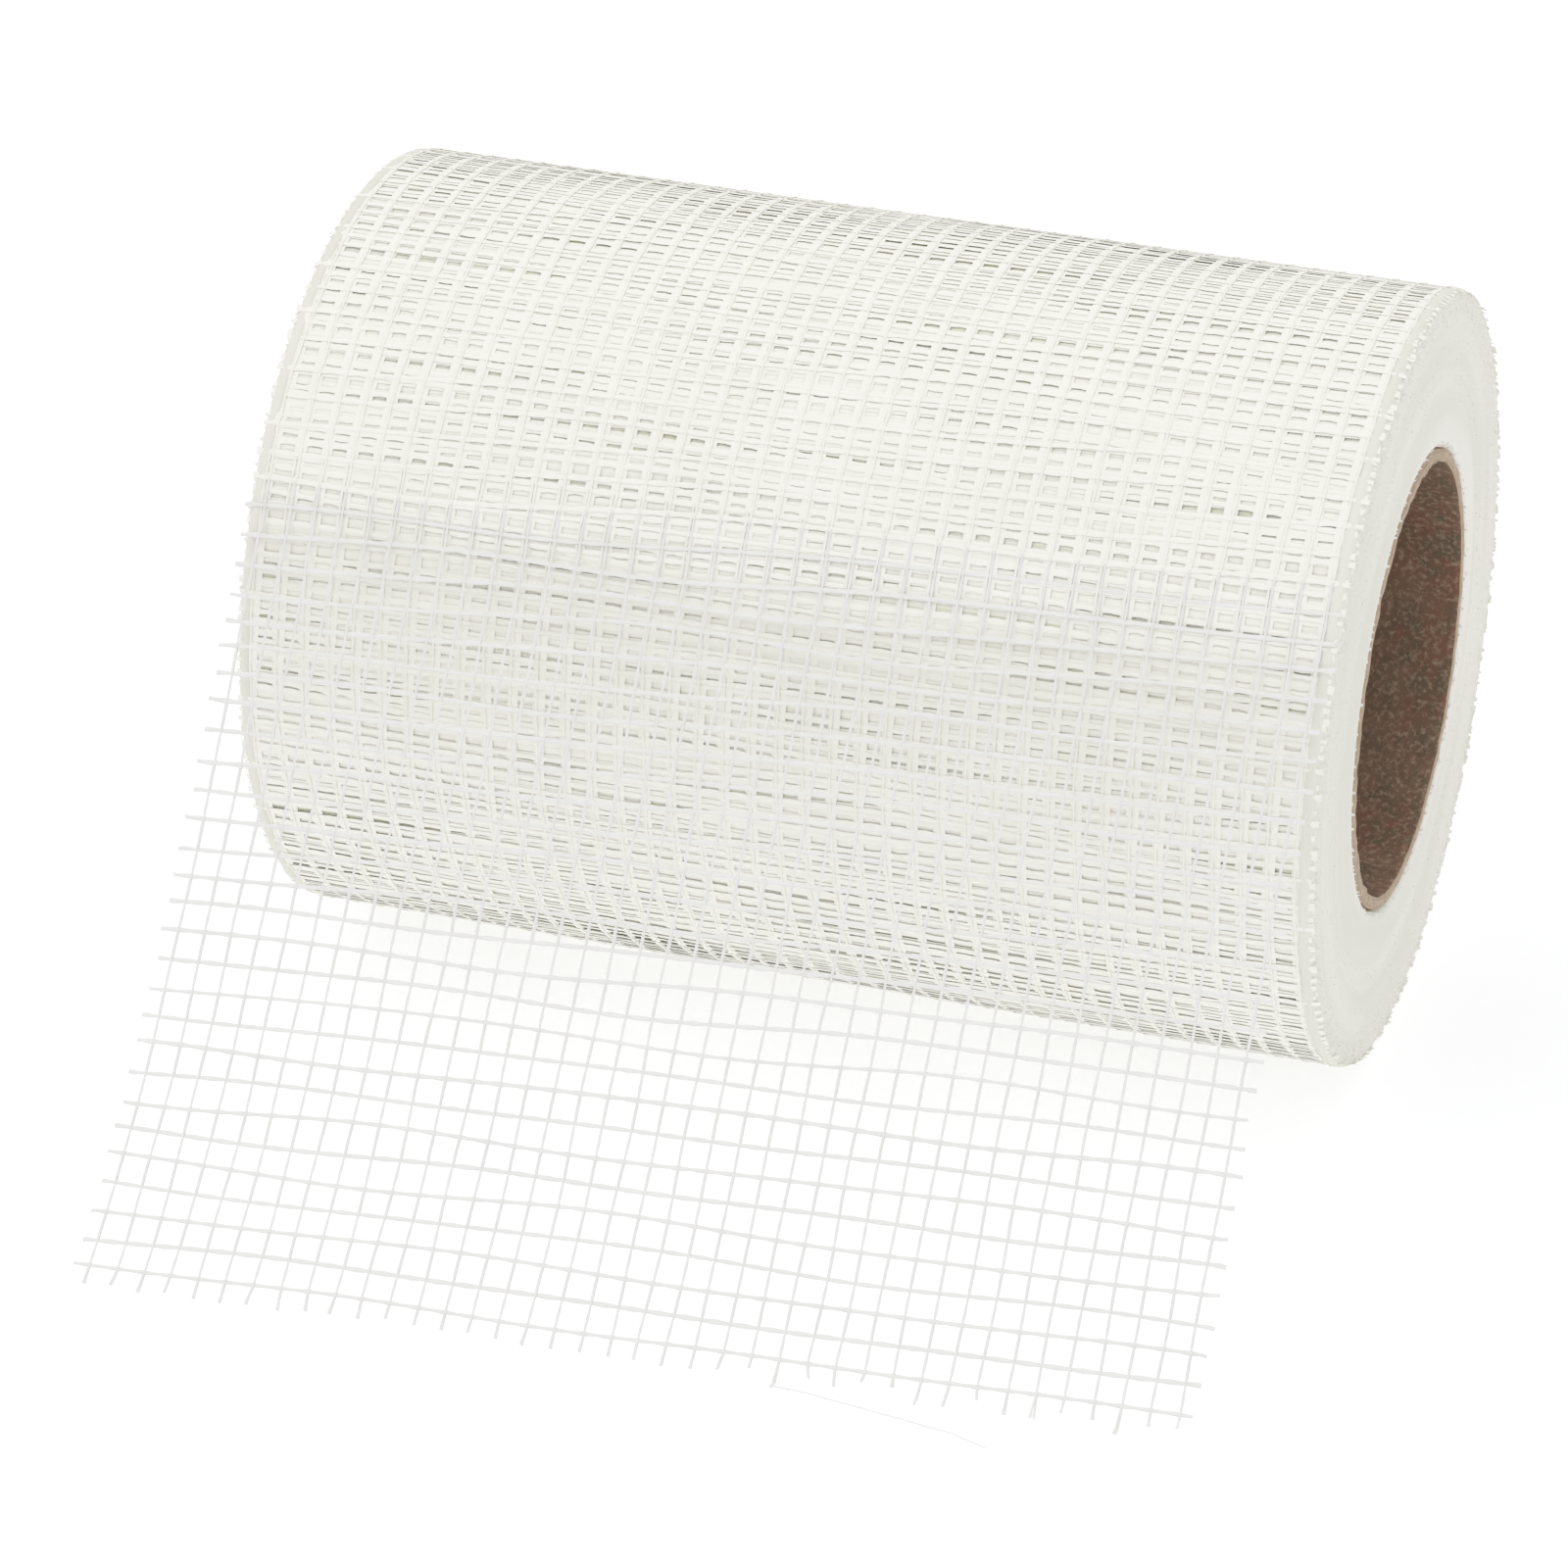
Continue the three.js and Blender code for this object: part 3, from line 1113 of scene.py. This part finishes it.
@dataclass
class WoundBody:
    """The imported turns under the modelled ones, with the dense bands and faces of their cut ends."""

    web: MeshWeb
    modelled_turns: int
    seat_gap: float = 0.3 * MM
    face_depth: float = FACE_DEPTH
    corner: float = 1.5 * MM
    band_skin: float = 0.28 * MM
    band_start: float = 0.45 * MM
    band_slope: float = 0.5 * MM
    lip: float = 1.4 * MM
    fine_ring: tuple[float, float] = (0.10 * MM, 2.3 * MM)
    broad_ring: tuple[float, float] = (0.16 * MM, 6.1 * MM)
    band_wave: float = 0.07 * MM
    face_steps: int = 26
    segments: int = 288

    def build(self) -> bpy.types.Object:
        """Make the wound body.

        Returns:
            The finished piece.
        """
        sizes, web = self.web.sizes, self.web
        face = sizes.half_width - self.face_depth
        inner = sizes.core_outer + self.seat_gap
        outer = sizes.radius - self.band_skin
        buried = sizes.radius - web.path.skin - self.modelled_turns * web.path.turn_step
        band = web.warp_places[-1] + self.band_start
        corner, lip = self.corner, self.lip
        half = []
        for share in np.linspace(0, 1, 5):
            half.append((band - self.band_slope * (1 - share), buried + (outer - buried) * share))
        for angle in np.linspace(0, math.pi / 2, 7):
            x = face - corner + corner * math.sin(angle)
            half.append((x, outer - corner + corner * math.cos(angle)))
        for radius in np.linspace(outer - corner, inner + lip, self.face_steps)[1:]:
            half.append((face, radius))
        for angle in np.linspace(0, math.pi / 2, 5)[1:]:
            half.append((face - lip + lip * math.cos(angle), inner + lip - lip * math.sin(angle)))
        right = np.array(half)
        left = right[::-1] * np.array([-1.0, 1.0])
        outline = np.vstack([left, right])
        slots = np.ones(len(outline), dtype=int)
        slots[len(left) - 1] = 0
        slots[-1] = 0
        swell = self._swell(outline, face)
        builder = MeshBuilder()
        builder.add_turned(outline, self.segments, sizes.radius, slots, swell)
        finishes = [
            BuriedTurnsFinish(web.warp_pitch, web.warp_places[0]).material(),
            CutEdgeFinish(sizes.radius).material(),
        ]
        return settle(builder.make("wound_body", finishes, True), "fiberglass", "mesh_web")

    def _swell(self, outline: np.ndarray, face: float) -> np.ndarray:
        """Work out the low uneven rings of the faces and the slight unevenness of the bands.

        Args:
            outline: The body's outline.
            face: How far the faces lie from the middle.

        Returns:
            The shift of (x, radius) for each step round and each outline point.
        """
        angles = np.arange(self.segments) * FULL_TURN / self.segments
        radius = outline[:, 1]
        on_face = smooth_step(face - 1.5 * MM, face, np.abs(outline[:, 0]))
        (fine, fine_pitch), (broad, broad_pitch) = self.fine_ring, self.broad_ring
        rings = fine * np.sin(radius / fine_pitch + 0.4 * np.sin(angles)[:, None])
        rings = rings + broad * np.sin(radius / broad_pitch + 0.5 * np.cos(angles)[:, None] + 1.0)
        shift_x = rings * on_face * np.sign(outline[:, 0])
        bumps = self.band_wave * (np.sin(angles * 41)[:, None] + np.sin(angles * 67 + 1)[:, None] * 0.8)
        near_rim = smooth_step(60 * MM, 71.3 * MM, radius)
        shift_radius = np.broadcast_to(bumps, shift_x.shape) * near_rim
        return np.stack([shift_x, shift_radius], axis=-1)


@dataclass
class CutFringe:
    """The cut tips of the cross yarns of all the buried turns, standing out of both faces."""

    web: MeshWeb
    packed_step: float = 0.42 * MM
    face_depth: float = FACE_DEPTH
    outer_inset: float = 1.2 * MM
    inner_inset: float = 0.5 * MM
    kept_share: float = 0.15
    short_tip: tuple[float, float] = (0.02 * MM, 0.18 * MM)
    rim_tip: tuple[float, float] = (0.05 * MM, 0.40 * MM)
    root: float = 1.0 * MM
    lean: float = 0.16 * MM
    along_scatter: float = 0.5 * MM
    width: float = 0.75
    thickness: float = 1.2
    bright: Colour = (0.90, 0.89, 0.865, 1.0)
    shaded: Colour = (0.86, 0.85, 0.82, 1.0)

    def build(self, side: Side) -> bpy.types.Object:
        """Make the fringe of one end.

        Args:
            side: The end of the roll.

        Returns:
            The finished piece.
        """
        web, sizes = self.web, self.web.sizes
        rng = np.random.default_rng(31 + side.value)
        step = self.packed_step / FULL_TURN
        outer = sizes.radius - self.outer_inset
        inner = sizes.core_outer + self.inner_inset
        whole = (outer**2 - inner**2) / (2 * step)
        distance = np.arange(0.0, whole, web.weft_pitch)
        distance = distance + rng.normal(0, self.along_scatter, len(distance))
        turned = (outer - np.sqrt(outer**2 - 2 * step * distance)) / step
        radius = outer - step * turned
        rim = np.maximum(smooth_step(outer - 5 * MM, outer - 2.5 * MM, radius),
                         1 - smooth_step(inner + 1.0 * MM, inner + 2.5 * MM, radius))
        keep = rng.random(len(radius)) < self.kept_share + (1 - self.kept_share) * rim
        radius, rim = radius[keep], rim[keep]
        angle = web.path.left_leave + turned[keep] + rng.normal(0, 0.002, len(radius))
        count = len(radius)
        out = np.stack([np.zeros(count), -np.cos(angle), np.sin(angle)], axis=-1)
        tangent = np.stack([np.zeros(count), np.sin(angle), np.cos(angle)], axis=-1)
        length = rng.uniform(*self.short_tip, count) + rim * rng.uniform(*self.rim_tip, count)
        base = sizes.half_width - self.face_depth - self.root
        tip = sizes.half_width - self.face_depth + length
        lean = rng.normal(0, self.lean, (count, 2))
        stations = []
        for share in (0.0, 0.6, 1.0):
            at = np.array([0.0, 0.0, sizes.radius]) + out * (radius + lean[:, 0] * share)[:, None]
            at = at + tangent * (lean[:, 1] * share)[:, None]
            at[:, 0] = side.value * (base + (tip - base) * share)
            stations.append(at)
        centres = np.stack(stations, axis=1)
        thick = rng.uniform(0.85, 1.15, (count, 1)) * np.array([[1.0, 1.1, 0.55]])
        yarns = Yarns(
            centres,
            np.repeat(tangent[:, None] * side.value, 3, axis=1),
            np.repeat(out[:, None], 3, axis=1),
            web.weft_width * self.width * thick,
            web.weft_thickness * self.thickness * thick,
        )
        builder = MeshBuilder()
        builder.add_yarns(yarns, Section.DIAMOND)
        finish = GlassYarnFinish("fringe_yarn", self.bright, self.shaded)
        piece = builder.make(f"cut_fringe_{side.name.lower()}", [finish.material()])
        return settle(piece, "fiberglass", "mesh_web")


@dataclass
class CoreTube:
    """The board tube that the web is wound on, with slightly rough cut ends."""

    sizes: RollSizes
    wall: float = 2.2 * MM
    round_off: float = 0.25 * MM
    ply_groove: float = 0.08 * MM
    bore_groove: float = 0.1 * MM
    ragged_end: float = 0.03 * MM
    ragged_bore: float = 0.045 * MM
    segments: int = 256

    def build(self) -> bpy.types.Object:
        """Make the tube.

        Returns:
            The finished piece.
        """
        outer, inner = self.sizes.core_outer, self.sizes.core_outer - self.wall
        end, wall, round_off = self.sizes.core_half_length, self.wall, self.round_off
        half = [
            (end - 4 * MM, outer), (end - round_off, outer), (end, outer - round_off),
            (end, outer - wall * 0.35), (end - self.ply_groove, outer - wall * 0.4),
            (end, outer - wall * 0.45), (end, inner + wall * 0.22),
            (end - self.bore_groove, inner + wall * 0.18), (end, inner + wall * 0.14),
            (end, inner + 0.5 * round_off), (end - 0.5 * round_off, inner), (end - 1.5 * MM, inner),
        ]
        right = np.array(half)
        left = right[::-1] * np.array([-1.0, 1.0])
        outline = np.vstack([left, right])
        slots = np.ones(len(outline), dtype=int)
        slots[-2:] = 0
        slots[0] = 0
        builder = MeshBuilder()
        builder.add_turned(outline, self.segments, self.sizes.radius, slots, self._swell(outline, end))
        finishes = [GreyboardFinish().material(), BoardEdgeFinish(self.sizes.radius).material()]
        return settle(builder.make("board_core", finishes, True), "cardboard", "core_tube")

    def _swell(self, outline: np.ndarray, end: float) -> np.ndarray:
        """Work out the slight raggedness of the cut ends.

        Args:
            outline: The tube's outline.
            end: How far the cut ends lie from the middle.

        Returns:
            The shift of (x, radius) for each step round and each outline point.
        """
        rng = np.random.default_rng(41)
        angles = np.arange(self.segments) * FULL_TURN / self.segments
        ragged = np.zeros(self.segments)
        for wave in range(5, 60, 4):
            ragged += np.sin(angles * wave + rng.random() * FULL_TURN) * rng.uniform(0.3, 1.0)
        near_end = smooth_step(end - 0.3 * MM, end - 0.05 * MM, np.abs(outline[:, 0]))
        shift_x = ragged[:, None] * self.ragged_end * near_end * np.sign(outline[:, 0])
        bore = (outline[:, 1] < outline[:, 1].min() + 0.3 * MM) * near_end
        shift_radius = -ragged[:, None] * self.ragged_bore * bore
        return np.stack([shift_x, shift_radius], axis=-1)


@dataclass
class Studio:
    """Floor, light and camera."""

    camera_place: tuple[float, float, float] = (0.32745, -1.06641, 0.66630)
    camera_yaw: float = math.radians(18.01)
    camera_pitch: float = math.radians(29.62)
    focal_pixels: float = 7000.0
    image_pixels: float = 1600.0
    sensor: float = 36.0
    floor_half: float = 3.0
    horizon_light: float = 0.56
    top_light: float = 1.14
    light_bounces: int = 8
    key_place: tuple[float, float, float] = (-0.6, -0.9, 2.1)
    key_aim: tuple[float, float, float] = (0.0, 0.0, 0.05)
    key_size: float = 2.0
    key_power: float = 4.0

    def build(self) -> None:
        """Make the floor, the lights, the world and the camera."""
        self._floor()
        self._camera()
        self._world()
        self._key_light()
        scene = bpy.context.scene
        scene.cycles.diffuse_bounces = self.light_bounces
        scene.cycles.max_bounces = self.light_bounces
        scene.view_settings.view_transform = "Standard"
        scene.view_settings.look = "None"

    def _floor(self) -> None:
        """Make the floor."""
        half = self.floor_half
        mesh = bpy.data.meshes.new("floor")
        corners = [(-half, -half, 0), (half, -half, 0), (half, half, 0), (-half, half, 0)]
        mesh.from_pydata(corners, [], [(0, 1, 2, 3)])
        mesh.materials.append(FloorFinish().material())
        floor = bpy.data.objects.new("floor", mesh)
        bpy.context.scene.collection.objects.link(floor)

    def _camera(self) -> None:
        """Make the camera at the photo's viewpoint."""
        data = bpy.data.cameras.new("camera")
        data.sensor_width = self.sensor
        data.lens = self.focal_pixels / self.image_pixels * self.sensor
        data.clip_end = 20.0
        camera = bpy.data.objects.new("camera", data)
        camera.location = self.camera_place
        camera.rotation_euler = (math.pi / 2 - self.camera_pitch, 0.0, self.camera_yaw)
        bpy.context.scene.collection.objects.link(camera)
        bpy.context.scene.camera = camera

    def _world(self) -> None:
        """Make the even white surroundings."""
        world = bpy.data.worlds.new("studio")
        world.use_nodes = True
        tree = world.node_tree
        background = tree.nodes["Background"]
        height = tree.nodes.new("ShaderNodeSeparateXYZ")
        tree.links.new(tree.nodes.new("ShaderNodeTexCoord").outputs["Generated"], height.inputs[0])
        strength = tree.nodes.new("ShaderNodeMapRange")
        tree.links.new(height.outputs["Z"], strength.inputs["Value"])
        strength.inputs["To Min"].default_value = self.horizon_light
        strength.inputs["To Max"].default_value = self.top_light
        tree.links.new(strength.outputs[0], background.inputs["Strength"])
        background.inputs["Color"].default_value = WHITE
        bpy.context.scene.world = world

    def _key_light(self) -> None:
        """Make one soft area light that looks at the roll."""
        data = bpy.data.lights.new("key_light", "AREA")
        data.size = self.key_size
        data.energy = self.key_power
        light = bpy.data.objects.new("key_light", data)
        light.location = self.key_place
        towards = np.array(self.key_aim) - np.array(self.key_place)
        yaw = math.atan2(-towards[0], towards[1])
        pitch = math.atan2(-towards[2], math.hypot(towards[0], towards[1]))
        light.rotation_euler = (math.pi / 2 - pitch, 0.0, yaw)
        bpy.context.scene.collection.objects.link(light)


def main() -> None:
    """Build the roll in order and report each piece."""
    logging.basicConfig(level=logging.INFO, format="%(name)s %(message)s")
    sizes = RollSizes.from_frame()
    Studio().build()
    web = MeshWeb(sizes, WebPath(sizes))
    CoreTube(sizes).build()
    turns = OuterTurns(web)
    body = WoundBody(web, turns.count).build()
    turns.build()
    for side in Side:
        CutFringe(web).build(side)
    LooseEnd(web).build(body.name)


if __name__ == "__main__":
    main()
